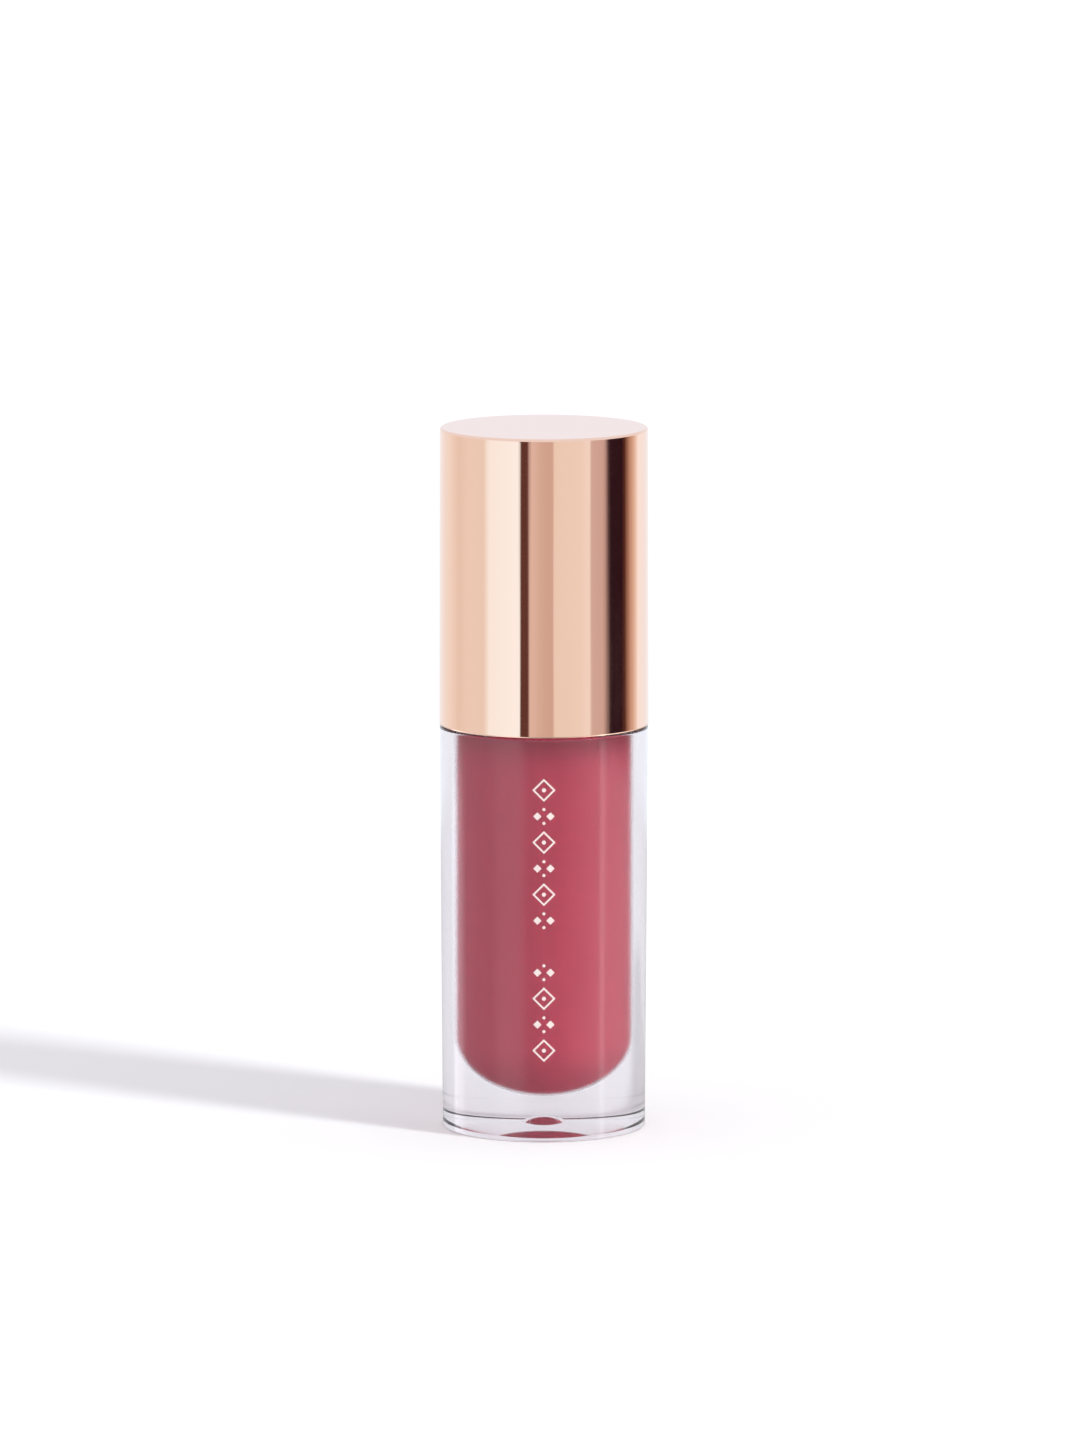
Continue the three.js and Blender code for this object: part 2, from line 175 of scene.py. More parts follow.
def turned(outline, sides, shape=None, grip=GRIP):
    """Points in metres and faces of a closed round piece.

    The outline keeps its material on its left. It starts and ends on the axis, or closes on itself.
    shape, if given, takes one outline point's radius and height with the angles round it, and returns the
    radii and heights of its ring.
    """
    on_axis = outline[0][0] < TINY
    line = held(outline, closed=not on_axis, grip=grip)
    angles = np.linspace(0, 2 * math.pi, sides, endpoint=False)
    points, starts = [], []
    for radius, height in line:
        starts.append(len(points))
        if radius < TINY:
            points.append((0, 0, height * MM))
            continue
        radii, heights = shape(radius, height, angles) if shape else (radius, height)
        radii, heights = np.broadcast_to(radii, sides), np.broadcast_to(heights, sides)
        points.extend(zip(radii * np.cos(angles) * MM, radii * np.sin(angles) * MM, heights * MM))
    faces = []
    count = len(line)
    for i in range(count - 1 if on_axis else count):
        j = (i + 1) % count
        low_pole, high_pole = line[i][0] < TINY, line[j][0] < TINY
        for k in range(sides):
            n = (k + 1) % sides
            if low_pole:
                faces.append((starts[i], starts[j] + n, starts[j] + k))
            elif high_pole:
                faces.append((starts[i] + k, starts[i] + n, starts[j]))
            else:
                faces.append((starts[i] + k, starts[i] + n, starts[j] + n, starts[j] + k))
    return points, faces


def smooth_step(x):
    x = np.clip(x, 0, 1)
    return x * x * (3 - 2 * x)


def thread_height(height, angle, from_turn, drop):
    """0 on the bare wall to 1 on the crest of the helical ridge, which is a right-hand thread."""
    best = np.zeros_like(angle)
    for extra in range(math.ceil(THREAD_TURNS) + 1):
        turn = angle / (2 * math.pi) + extra
        centre = THREAD_START_Z + THREAD_PITCH * turn - drop
        flank = smooth_step((THREAD_ROOT - np.abs(height - centre)) / (THREAD_ROOT - THREAD_CREST))
        fade_in = smooth_step((turn - from_turn) / THREAD_FADE)
        fade_out = smooth_step((THREAD_TURNS - turn) / THREAD_FADE)
        best = np.maximum(best, flank * fade_in * fade_out)
    return best


# ---- Node helpers ----


class Nodes:
    """A small wrapper for building a material's node tree."""

    def __init__(self, tree):
        self.tree = tree
        self.coords = None

    def add(self, kind, **settings):
        node = self.tree.nodes.new(kind)
        for key, value in settings.items():
            setattr(node, key, value)
        return node

    def link(self, source, target):
        self.tree.links.new(source, target)

    def object_coords(self):
        if self.coords is None:
            self.coords = self.add("ShaderNodeTexCoord").outputs["Object"]
        return self.coords

    def noise(self, scale, detail=2.0, roughness=0.5, stretch=(1, 1, 1)):
        """A noise field in the piece's own coordinates; scale is in features per metre."""
        mapping = self.add("ShaderNodeMapping")
        mapping.inputs["Scale"].default_value = stretch
        self.link(self.object_coords(), mapping.inputs["Vector"])
        node = self.add("ShaderNodeTexNoise")
        node.inputs["Scale"].default_value = scale
        node.inputs["Detail"].default_value = detail
        node.inputs["Roughness"].default_value = roughness
        self.link(mapping.outputs["Vector"], node.inputs["Vector"])
        return node.outputs["Fac"]

    def spread(self, field, low, high, start=0.35, end=0.65):
        """The field stretched from start..end to low..high."""
        node = self.add("ShaderNodeMapRange")
        for name, value in (("From Min", start), ("From Max", end), ("To Min", low), ("To Max", high)):
            node.inputs[name].default_value = value
        self.link(field, node.inputs["Value"])
        return node.outputs["Result"]

    def math(self, operation, a, b=None, c=None):
        node = self.add("ShaderNodeMath", operation=operation)
        for slot, value in enumerate((a, b, c)):
            if value is None:
                continue
            if isinstance(value, (int, float)):
                node.inputs[slot].default_value = value
            else:
                self.link(value, node.inputs[slot])
        return node.outputs[0]

    def blend(self, factor, first, second):
        """A mix of two colours, each a tuple or a socket."""
        node = self.add("ShaderNodeMix", data_type="RGBA")
        self.link(factor, node.inputs["Factor"])
        for name, value in (("A", first), ("B", second)):
            socket = [s for s in node.inputs if s.name == name and s.type == "RGBA"][0]
            if isinstance(value, tuple):
                socket.default_value = (*value, 1)
            else:
                self.link(value, socket)
        return [s for s in node.outputs if s.type == "RGBA"][0]

    def bump(self, height, distance):
        """A bump whose full height is distance, in metres."""
        node = self.add("ShaderNodeBump")
        node.inputs["Distance"].default_value = distance
        self.link(height, node.inputs["Height"])
        return node.outputs["Normal"]


def new_material(name, **constants):
    """A Principled material and its node helper. constants are the shader's own sockets, _ for a space."""
    material = bpy.data.materials.new(name)
    material.use_nodes = True
    shader = material.node_tree.nodes["Principled BSDF"]
    for key, value in constants.items():
        socket = shader.inputs[key.replace("_", " ")]
        socket.default_value = (*value, 1) if socket.type == "RGBA" else value
    return material, shader, Nodes(material.node_tree)


# ---- Materials ----

PLASTIC_IOR = 1.57
GLOSS_IOR = 1.52


def clear_plastic(name="clear_petg", ior=PLASTIC_IOR, clarity=0.98, roughness=(0.02, 0.04), ripple=4e-6):
    """Thick clear plastic. What isn't clear in it is a slight milky haze."""
    material, shader, nodes = new_material(
        name, Base_Color=(0.8, 0.775, 0.815), Transmission_Weight=clarity, IOR=ior)
    nodes.link(nodes.spread(nodes.noise(220, 3), *roughness), shader.inputs["Roughness"])
    flow = nodes.noise(60, 2, stretch=(1, 1, 0.25))
    nodes.link(nodes.bump(flow, ripple), shader.inputs["Normal"])
    return material


def wetted_plastic():
    """The wall where gloss wets it. Light bends there by the ratio of the two, and grazing light mirrors."""
    return clear_plastic("wetted_petg", PLASTIC_IOR / GLOSS_IOR, 1.0, (0.29, 0.32), 5e-7)


def gloss():
    material, shader, nodes = new_material("rose_gloss", Roughness=0.42, Specular_IOR_Level=0.0)
    streaks = nodes.noise(170, 3, stretch=(1, 1, 0.3))
    nodes.link(nodes.blend(nodes.spread(streaks, 0, 1), (0.62, 0.055, 0.105), (0.66, 0.068, 0.12)),
               shader.inputs["Base Color"])
    nodes.link(nodes.bump(nodes.noise(500, 2), 1e-5), shader.inputs["Normal"])
    return material


def foil():
    material, shader, nodes = new_material("cream_foil", Roughness=0.35)
    speckle = nodes.noise(6000, 2)
    nodes.link(nodes.blend(nodes.spread(speckle, 0, 1), (0.8, 0.66, 0.62), (0.86, 0.72, 0.68)),
               shader.inputs["Base Color"])
    nodes.link(nodes.bump(speckle, 4e-6), shader.inputs["Normal"])
    return material


def rose_gold():
    material, shader, nodes = new_material(
        "polished_rose_gold", Base_Color=(0.92, 0.64, 0.5), Metallic=1.0)
    haze = nodes.noise(120, 4)
    lines = nodes.noise(1500, 2, stretch=(1, 1, 0.02))
    wear = nodes.math("ADD", nodes.math("MULTIPLY", haze, 0.6), nodes.math("MULTIPLY", lines, 0.4))
    nodes.link(nodes.spread(wear, 0.03, 0.06), shader.inputs["Roughness"])
    nodes.link(nodes.bump(lines, 1.2e-7), shader.inputs["Normal"])
    return material


def white_plastic():
    material, shader, nodes = new_material(
        "inner_cap_plastic", Subsurface_Weight=0.25, Subsurface_Scale=0.0015)
    mottle = nodes.noise(900, 3)
    nodes.link(nodes.blend(nodes.spread(mottle, 0, 1), (0.84, 0.82, 0.8), (0.88, 0.87, 0.85)),
               shader.inputs["Base Color"])
    nodes.link(nodes.spread(nodes.noise(2500, 2), 0.3, 0.42), shader.inputs["Roughness"])
    nodes.link(nodes.bump(nodes.noise(5000, 2), 3e-6), shader.inputs["Normal"])
    return material


def soft_plastic():
    material, shader, nodes = new_material("wiper_ldpe", Subsurface_Weight=0.6, Subsurface_Scale=0.002)
    mottle = nodes.noise(700, 3)
    nodes.link(nodes.blend(nodes.spread(mottle, 0, 1), (0.86, 0.83, 0.82), (0.92, 0.9, 0.88)),
               shader.inputs["Base Color"])
    nodes.link(nodes.spread(nodes.noise(1800, 2), 0.36, 0.5), shader.inputs["Roughness"])
    nodes.link(nodes.bump(mottle, 8e-6), shader.inputs["Normal"])
    return material


def washer_foam():
    material, shader, nodes = new_material("washer_foam", Subsurface_Weight=0.2, Subsurface_Scale=0.0005)
    cells = nodes.add("ShaderNodeTexVoronoi")
    cells.inputs["Scale"].default_value = 9000
    nodes.link(nodes.object_coords(), cells.inputs["Vector"])
    nodes.link(nodes.blend(nodes.spread(cells.outputs["Distance"], 0, 1, 0, 0.6),
                           (0.82, 0.8, 0.77), (0.93, 0.92, 0.9)), shader.inputs["Base Color"])
    nodes.link(nodes.spread(nodes.noise(3000), 0.7, 0.85), shader.inputs["Roughness"])
    nodes.link(nodes.bump(cells.outputs["Distance"], 4e-5), shader.inputs["Normal"])
    return material


def turned_steel():
    """Zinc-plated steel with the rings that a lathe tool leaves."""
    tool_pitch = 0.0002
    material, shader, nodes = new_material("turned_steel", Metallic=1.0)
    split = nodes.add("ShaderNodeSeparateXYZ")
    nodes.link(nodes.object_coords(), split.inputs["Vector"])
    radius = nodes.math("SQRT", nodes.math(
        "ADD", nodes.math("POWER", split.outputs["X"], 2), nodes.math("POWER", split.outputs["Y"], 2)))
    tool_marks = nodes.math("SINE", nodes.math("MULTIPLY", radius, 2 * math.pi / tool_pitch))
    nodes.link(nodes.blend(nodes.spread(nodes.noise(400, 4), 0, 1), (0.5, 0.5, 0.51), (0.6, 0.6, 0.61)),
               shader.inputs["Base Color"])
    nodes.link(nodes.spread(nodes.noise(900, 3), 0.28, 0.42), shader.inputs["Roughness"])
    nodes.link(nodes.bump(tool_marks, 4e-6), shader.inputs["Normal"])
    return material


def stem_plastic():
    """Pale plastic whose lower part carries a film of gloss, with an uneven upper edge."""
    film_full_z, film_end_z = 0.026, 0.046
    waver = 0.012
    material, shader, nodes = new_material(
        "stem_plastic", Subsurface_Weight=0.3, Subsurface_Scale=0.001, Coat_Weight=0.4, Coat_Roughness=0.08)
    split = nodes.add("ShaderNodeSeparateXYZ")
    nodes.link(nodes.object_coords(), split.inputs["Vector"])
    smear = nodes.math("ADD", split.outputs["Z"], nodes.math("MULTIPLY", nodes.noise(260, 3), waver))
    wet = nodes.spread(smear, 1, 0, film_full_z, film_end_z)
    film = nodes.blend(wet, (0.86, 0.84, 0.83), (0.62, 0.22, 0.27))
    nodes.link(film, shader.inputs["Base Color"])
    nodes.link(nodes.spread(nodes.noise(1500, 2), 0.22, 0.34), shader.inputs["Roughness"])
    nodes.link(nodes.bump(nodes.noise(700, 3), 1.2e-5), shader.inputs["Normal"])
    return material


def core_plastic():
    material, shader, nodes = new_material("core_plastic", Subsurface_Weight=0.2, Subsurface_Scale=0.001)
    nodes.link(nodes.blend(nodes.spread(nodes.noise(900, 2), 0, 1), (0.8, 0.74, 0.73), (0.86, 0.8, 0.79)),
               shader.inputs["Base Color"])
    nodes.link(nodes.spread(nodes.noise(2500, 2), 0.45, 0.6), shader.inputs["Roughness"])
    nodes.link(nodes.bump(nodes.noise(4000, 2), 5e-6), shader.inputs["Normal"])
    return material


def flocking():
    material, shader, nodes = new_material(
        "wet_flocking", Sheen_Weight=0.35, Sheen_Roughness=0.4, Coat_Weight=0.5, Coat_Roughness=0.15,
        Subsurface_Weight=0.15, Subsurface_Scale=0.0006)
    fibres = nodes.noise(14000, 3, 0.7)
    clumps = nodes.noise(2600, 3, stretch=(1, 1, 0.6))
    nodes.link(nodes.blend(nodes.spread(clumps, 0, 1), (0.42, 0.075, 0.115), (0.54, 0.125, 0.17)),
               shader.inputs["Base Color"])
    nodes.link(nodes.spread(fibres, 0.45, 0.8), shader.inputs["Roughness"])
    height = nodes.math("ADD", fibres, clumps)
    nodes.link(nodes.bump(height, 5e-5), shader.inputs["Normal"])
    return material


def pale_floor():
    material, shader, nodes = new_material(
        "pale_floor", Specular_IOR_Level=0.0, Roughness=0.9, Emission_Color=(0.96, 0.94, 1.0),
        Emission_Strength=0.14)
    nodes.link(nodes.blend(nodes.spread(nodes.noise(8, 2), 0, 1), (0.79, 0.79, 0.79), (0.81, 0.81, 0.81)),
               shader.inputs["Base Color"])
    return material


# ---- Pieces ----


def place(name, geometry, material, body, slot, *nodes):
    """Puts a finished piece in the scene: it rides on a body and stands for CAD nodes."""
    obj = mesh_object(name, *geometry)
    obj.data.materials.append(material)
    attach(obj, body)
    if nodes:
        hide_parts(*nodes)
    return obj


def wall_radius(height):
    """The bottle's outer radius at a height on its straight side, which has a slight draft."""
    low, high = BASE_FILLET, SHOULDER_Z - SHOULDER_FILLET
    return BASE_RADIUS + (SHOULDER_RADIUS - BASE_RADIUS) * (height - low) / (high - low)


def bowl(grow, start, end):
    """Points on the cavity's rounded floor, moved outwards by grow."""
    return arc(0, FLOOR_Z + BOWL_DEPTH, BORE_RADIUS + grow, start, end, 40, BOWL_DEPTH + grow)


def dome(edge_radius, edge_z, rise, start_radius, end_radius, steps):
    """Points on a shallow dome that stands on a circle, from one radius out to another."""
    sphere = (edge_radius ** 2 + rise ** 2) / (2 * rise)
    centre_z = edge_z + rise - sphere
    radii = [start_radius + (end_radius - start_radius) * i / steps for i in range(steps + 1)]
    return [(radius, centre_z + math.sqrt(sphere ** 2 - radius ** 2)) for radius in radii]


def bottle():
    """The bottle with its threaded neck. Where gloss wets the cavity, the wall has a material of its own."""
    lip, bore_edge = 0.25, 0.15
    dish = dome(DISH_RADIUS, 0, DISH_DEPTH, DIMPLE_RADIUS, DISH_RADIUS, 24)
    outline = [
        *dome(DIMPLE_RADIUS, dish[0][1], DIMPLE_DEPTH, 0, DIMPLE_RADIUS, 14)[:-1],
        *dish,
        *arc(BASE_RADIUS - BASE_FILLET, BASE_FILLET, BASE_FILLET, -90, 0, 12),
        *arc(SHOULDER_RADIUS - SHOULDER_FILLET, SHOULDER_Z - SHOULDER_FILLET, SHOULDER_FILLET, 0, 90, 10),
        *arc(NECK_RADIUS + NECK_FILLET, SHOULDER_Z + NECK_FILLET, NECK_FILLET, 270, 180, 8),
        *runs((NECK_RADIUS, THREAD_START_Z - 1), (NECK_RADIUS, LIP_Z - lip - 0.05), 64),
        *arc(NECK_RADIUS - lip, LIP_Z - lip, lip, 0, 90, 6),
        *arc(BORE_RADIUS + bore_edge, LIP_Z - bore_edge, bore_edge, 90, 180, 5),
        *bowl(0, 0, -90),
    ]
    outline[-1] = (0, outline[-1][1])

    def neck_thread(radius, height, angle):
        on_neck = abs(radius - NECK_RADIUS) < TINY and height > SHOULDER_Z + 2 * NECK_FILLET
        ridge = THREAD_DEPTH * thread_height(height, angle, 0, 0) if on_neck else 0
        return radius + ridge, height

    obj = place("clear_bottle", turned(outline, FINE, neck_thread), clear_plastic(),
                "bottle_body", "clear_plastic", "bottle")
    obj.data.materials.append(wetted_plastic())
    reach = 0.01
    for face in obj.data.polygons:
        radius, height = math.hypot(face.center.x, face.center.y) / MM, face.center.z / MM
        if radius < BORE_RADIUS + reach and FLOOR_Z - reach < height < LEVEL_Z:
            face.material_index = 1
    return obj


def gloss_fill():
    """The gloss, close inside the wall, with a curved surface and a channel for the applicator."""
    grow = -FILL_GAP / 2
    channel = FLOCK_RADIUS + 0.4
    climb = 0.7
    outline = [
        *bowl(grow, -90, 0),
        (BORE_RADIUS + grow, LEVEL_Z),
        *arc(BORE_RADIUS - climb, LEVEL_Z + climb / 2, climb, -30, -90, 6),
        (channel + 0.2, LEVEL_Z - climb / 2),
        (channel, LEVEL_Z - 0.45),
        *arc(0, TIP_Z - 0.5 + channel, channel, 0, -90, 16),
    ]
    outline[0] = (0, outline[0][1])
    outline[-1] = (0, outline[-1][1])
    return place("gloss", turned(outline, FINE), gloss(), "bottle_body", "gloss", "gloss_fill")


def wiper():
    sleeve = BORE_RADIUS - 0.1
    inner = sleeve - WIPER_WALL
    cone_z = WIPER_Z + 3.2
    flange_z = FLANGE_TOP_Z - 0.8
    edge = 0.12
    outline = [
        *arc(ORIFICE_RADIUS + edge, WIPER_Z + edge, edge, 180, 270, 5),
        (ORIFICE_RADIUS + 0.5, WIPER_Z),
        (sleeve - 0.15, cone_z - 0.2),
        (sleeve, cone_z + 0.1),
        (sleeve, flange_z),
        *arc(FLANGE_RADIUS - 0.1, flange_z + 0.1, 0.1, -90, 0, 4),
        *arc(FLANGE_RADIUS - 0.2, FLANGE_TOP_Z - 0.2, 0.2, 0, 90, 6),
        *arc(inner + 0.3, FLANGE_TOP_Z - 0.3, 0.3, 90, 180, 6),
        (inner, cone_z + 0.5),
        (inner - 0.1, cone_z + 0.1),
        *arc(ORIFICE_RADIUS + edge, WIPER_Z + 0.75, edge, 135, 180, 4),
    ]
    return place("wiper_insert", turned(outline, MEDIUM), soft_plastic(),
                 "bottle_body", "soft_plastic", "wiper")


def washer():
    inner = STEM_RADIUS + 1.3
    edge = 0.12
    outline = [
        *arc(inner + edge, WASHER_Z + edge, edge, 180, 270, 4),
        *arc(WASHER_RADIUS - edge, WASHER_Z + edge, edge, -90, 0, 4),
        *arc(WASHER_RADIUS - edge, WASHER_TOP_Z - edge, edge, 0, 90, 4),
        *arc(inner + edge, WASHER_TOP_Z - edge, edge, 90, 180, 4),
    ]
    return place("foam_washer", turned(outline, MEDIUM), washer_foam(),
                 "washer_body", "washer_foam", "sealing_washer")


def weight():
    bevel = 0.4
    outline = [
        (0, WEIGHT_Z),
        *arc(WEIGHT_RADIUS - bevel, WEIGHT_Z + bevel, bevel, -90, 0, 6),
        *arc(WEIGHT_RADIUS - bevel, WEIGHT_TOP_Z - bevel, bevel, 0, 90, 6),
        (0, WEIGHT_TOP_Z),
    ]
    return place("steel_slug", turned(outline, MEDIUM), turned_steel(),
                 "weight_body", "steel", "cap_weight")


def cap_shell():
    top_radius = CAP_RADIUS - CAP_DRAFT
    inner_z = TOP_Z - CAP_TOP_THICKNESS
    rim = CAP_WALL / 2
    fillet = CAP_EDGE_FILLET
    outline = [
        (0, inner_z),
        *arc(top_radius - CAP_WALL - fillet, inner_z - fillet, fillet, 90, 0, 8),
        (CAP_RADIUS - CAP_WALL, CAP_Z + rim),
        *arc(CAP_RADIUS - rim, CAP_Z + 0.1, rim, 180, 360, 12, 0.1),
        *arc(top_radius - fillet, TOP_Z - fillet, fillet, 0, 90, 12),
        (0, TOP_Z),
    ]
    return place("metal_shell", turned(outline, FINE), rose_gold(),
                 "cap_body", "rose_gold", "cap_shell")


def near_spoke(radius, angle, count):
    """Which points round a ring lie on evenly spaced upright walls."""
    turn = angle * count / (2 * math.pi)
    return np.abs(turn - np.round(turn)) * 2 * math.pi / count * radius < RIB_WIDTH / 2


def inner_cap():
    """The skirt with the cap's thread and ribs, the deck over the neck, and the stem's socket with webs."""
    socket = STEM_HEAD_RADIUS + 1.1
    ring_height = 1.2
    play = 0.15
    neck_hole = STEM_NECK_RADIUS + play
    head_hole = STEM_HEAD_RADIUS + play
    edge = 0.15
    sink = 0.02                 # how far ribs and webs stay inside the rings that they run into
    web_top = SOCKET_TOP_Z - sink
    outline = [
        *arc(neck_hole + edge, DECK_Z + edge, edge, 180, 270, 4),
        (CAP_BORE_RADIUS - 0.2, DECK_Z),
        (CAP_BORE_RADIUS, DECK_Z - 0.2),
        *runs((CAP_BORE_RADIUS, DECK_Z - 0.4), (CAP_BORE_RADIUS, THREAD_START_Z - 1.6), 84),
        (CAP_BORE_RADIUS, SKIRT_Z + 0.7),
        (CAP_BORE_RADIUS + 0.3, SKIRT_Z + 0.08),
        (CAP_BORE_RADIUS + 0.4, SKIRT_Z),
        *arc(RIB_RADIUS - edge, SKIRT_Z + edge, edge, -90, 0, 4),
        (RIB_RADIUS, SKIRT_Z + ring_height),
        (SKIRT_RADIUS, SKIRT_Z + ring_height + 0.01),
        (SKIRT_RADIUS, SKIRT_TOP_Z - ring_height - 0.01),
        (RIB_RADIUS, SKIRT_TOP_Z - ring_height),
        *arc(RIB_RADIUS - edge, SKIRT_TOP_Z - edge, edge, 0, 90, 4),
        *arc(CAP_BORE_RADIUS + edge, SKIRT_TOP_Z - edge, edge, 90, 180, 4),
        (CAP_BORE_RADIUS, web_top),
        *runs((CAP_BORE_RADIUS, DECK_TOP_Z), (socket, DECK_TOP_Z), 8),
        (socket, SOCKET_TOP_Z),
        (head_hole, SOCKET_TOP_Z),
        (head_hole, SNAP_Z),
        (neck_hole, SNAP_Z),
    ]

    def thread_ribs_and_webs(radius, height, angle):
        if abs(radius - CAP_BORE_RADIUS) < TINY and height < DECK_Z:
            ridge = THREAD_DEPTH * thread_height(height, angle, CAP_THREAD_FROM, CAP_THREAD_DROP)
            return radius - ridge, height
        if abs(radius - SKIRT_RADIUS) < TINY:
            return np.where(near_spoke(radius, angle, RIB_COUNT), RIB_RADIUS - sink, radius), height
        if abs(height - DECK_TOP_Z) < TINY:
            return radius, np.where(near_spoke(radius, angle, WEB_COUNT), web_top - sink, height)
        return radius, height

    return place("inner_cap_moulding", turned(outline, FINE, thread_ribs_and_webs), white_plastic(),
                 "cap_body", "white_plastic", "inner_cap")


def stem():
    hole_top = STEM_Z + 4.4
    collar_z = DECK_Z - 0.1
    hole = CORE_SHANK_RADIUS + 0.1
    outline = [
        (0, hole_top),
        (hole, hole_top),
        (hole, STEM_Z),
        *arc(STEM_RADIUS - 0.15, STEM_Z + 0.15, 0.15, -90, 0, 6),
        (STEM_RADIUS, collar_z - 1.9),
        *arc(STEM_RADIUS + 0.5, collar_z - 1.8, 0.5, 180, 135, 5),
        (COLLAR_RADIUS - 0.05, collar_z - 0.8),
        (COLLAR_RADIUS, collar_z - 0.7),
        *arc(COLLAR_RADIUS - 0.1, collar_z - 0.1, 0.1, 0, 90, 4),
        (STEM_NECK_RADIUS, collar_z),
        (STEM_NECK_RADIUS, SNAP_Z + 0.1),
        (STEM_HEAD_RADIUS, SNAP_Z + 0.1),
        (STEM_HEAD_RADIUS, SNAP_Z + 1.3),
        (STEM_NECK_RADIUS, STEM_TOP_Z - 0.1),
        (STEM_NECK_RADIUS - 0.1, STEM_TOP_Z),
        (0, STEM_TOP_Z),
    ]
    return place("stem_rod", turned(outline, SMALL), stem_plastic(), "cap_body", "stem_plastic", "stem")


def slanted(points, inset, softness):
    """The points, with those beyond the applicator's slanted plane pushed back onto it. Its edge is soft."""
    outwards = np.array([0, -math.cos(TIP_SLANT), -math.sin(TIP_SLANT)])
    on_plane = np.array([0, FLOCK_RADIUS / 2, TIP_Z + 0.6]) * MM - outwards * inset * MM
    points = np.array(points)
    beyond = (points - on_plane) @ outwards
    soft = softness * MM
    pushed = 0.5 * (beyond + np.sqrt(beyond ** 2 + soft ** 2))
    return points - np.outer(pushed, outwards)


def core_line(gap, steps):
    """The core's outline from its lower pole up to its shank, moved outwards by gap."""
    radius = CORE_RADIUS + gap
    bottom = TIP_Z + FLOCK_THICKNESS + 0.1 - gap
    shank = CORE_SHANK_RADIUS + gap
    return [
        *arc(0, bottom + radius, radius, -90, 0, 14),
        *runs((radius, bottom + radius + 0.1), (radius, FLOCK_TOP_Z - 1.2), steps),
        (shank, FLOCK_TOP_Z - 0.6),
    ]


def tip_core():
    outline = [*core_line(0, 60), (CORE_SHANK_RADIUS, CORE_TOP_Z), (0, CORE_TOP_Z)]
    outline[0] = (0, outline[0][1])
    points, faces = turned(outline, SMALL, grip=TIP_GRIP)
    return place("applicator_core", (slanted(points, FLOCK_THICKNESS + 0.1, 0.1), faces), core_plastic(),
                 "cap_body", "core_plastic", "tip_core")


def tip_flocking():
    """The sleeve of fibres. Its inside follows the core, so each side has its own slanted plane."""
    outside = [
        *arc(0, TIP_Z + FLOCK_RADIUS, FLOCK_RADIUS, -90, 0, 24),
        *runs((FLOCK_RADIUS, TIP_Z + FLOCK_RADIUS + 0.1), (FLOCK_RADIUS, FLOCK_TOP_Z - 0.6), 100),
        *arc(FLOCK_RADIUS - 0.5, FLOCK_TOP_Z - 0.5, 0.5, 0, 90, 8),
    ]
    outside[0] = (0, outside[0][1])
    inside = core_line(0.1, 60)[::-1]
    inside[-1] = (0, inside[-1][1])
    outline = [*outside, (CORE_SHANK_RADIUS + 0.1, FLOCK_TOP_Z), *inside]
    points, faces = turned(outline, SMALL, grip=TIP_GRIP)
    outer_rings = len(held(outside, closed=False, grip=TIP_GRIP)) - 1
    outer_count = 1 + outer_rings * SMALL
    outer = slanted(points[:outer_count], 0, 0.25)
    inner = slanted(points[outer_count:], FLOCK_THICKNESS, 0.1)
    return place("flocked_tip", (np.vstack([outer, inner]), faces), flocking(),
                 "cap_body", "flocking", "tip_flocking")


# ---- Foil ornament on the bottle's front ----

FOIL_LOW_Z = 7.6
FOIL_HIGH_Z = 35.1
FOIL_WIDTH = 2.2
FOIL_STROKE = 0.17
FOIL_DOT = 0.2
FOIL_SMALL_DOT = 0.15
FOIL_LIFT = 0.012                # clear of the wall, so that the two don't share a face
FOIL_THICKNESS = 0.02
FOIL_PLACES = 11
FOIL_EMPTY_PLACE = 4            # counted from the bottom


def polygon(centre, size, corners, points):
    """A closed outline in (across, up): a regular polygon with even points along its sides."""
    turns = [2 * math.pi * i / corners for i in range(corners)]
    tips = [(centre[0] + size * math.cos(turn), centre[1] + size * math.sin(turn)) for turn in turns]
    per_side = points // corners
    return [p for i in range(corners) for p in runs(tips[i], tips[(i + 1) % corners], per_side)[:-1]]


def dot(centre, size):
    """A filled round mark."""
    return polygon(centre, size, 24, 24), None


def foil_marks():
    """Pairs of outlines, outer and inner, or outer and None where the shape is filled."""
    pitch = (FOIL_HIGH_Z - FOIL_LOW_Z) / FOIL_PLACES
    half = FOIL_WIDTH / 2
    marks = []
    for place_number in range(FOIL_PLACES):
        if place_number == FOIL_EMPTY_PLACE:
            continue
        middle = (0, FOIL_LOW_Z + pitch * (place_number + 0.5))
        if place_number % 2 == 0:
            inset = FOIL_STROKE * math.sqrt(2) / half
            marks.append((polygon(middle, half, 4, 32), polygon(middle, half * (1 - inset), 4, 32)))
            marks.append(dot(middle, FOIL_DOT))
        else:
            for side in (-1, 1):
                leaf = (side * half * 0.56, middle[1])
                marks.append((polygon(leaf, half * 0.36, 4, 24), None))
                marks.append(dot((0, middle[1] + side * half * 0.6), FOIL_SMALL_DOT))
    return marks


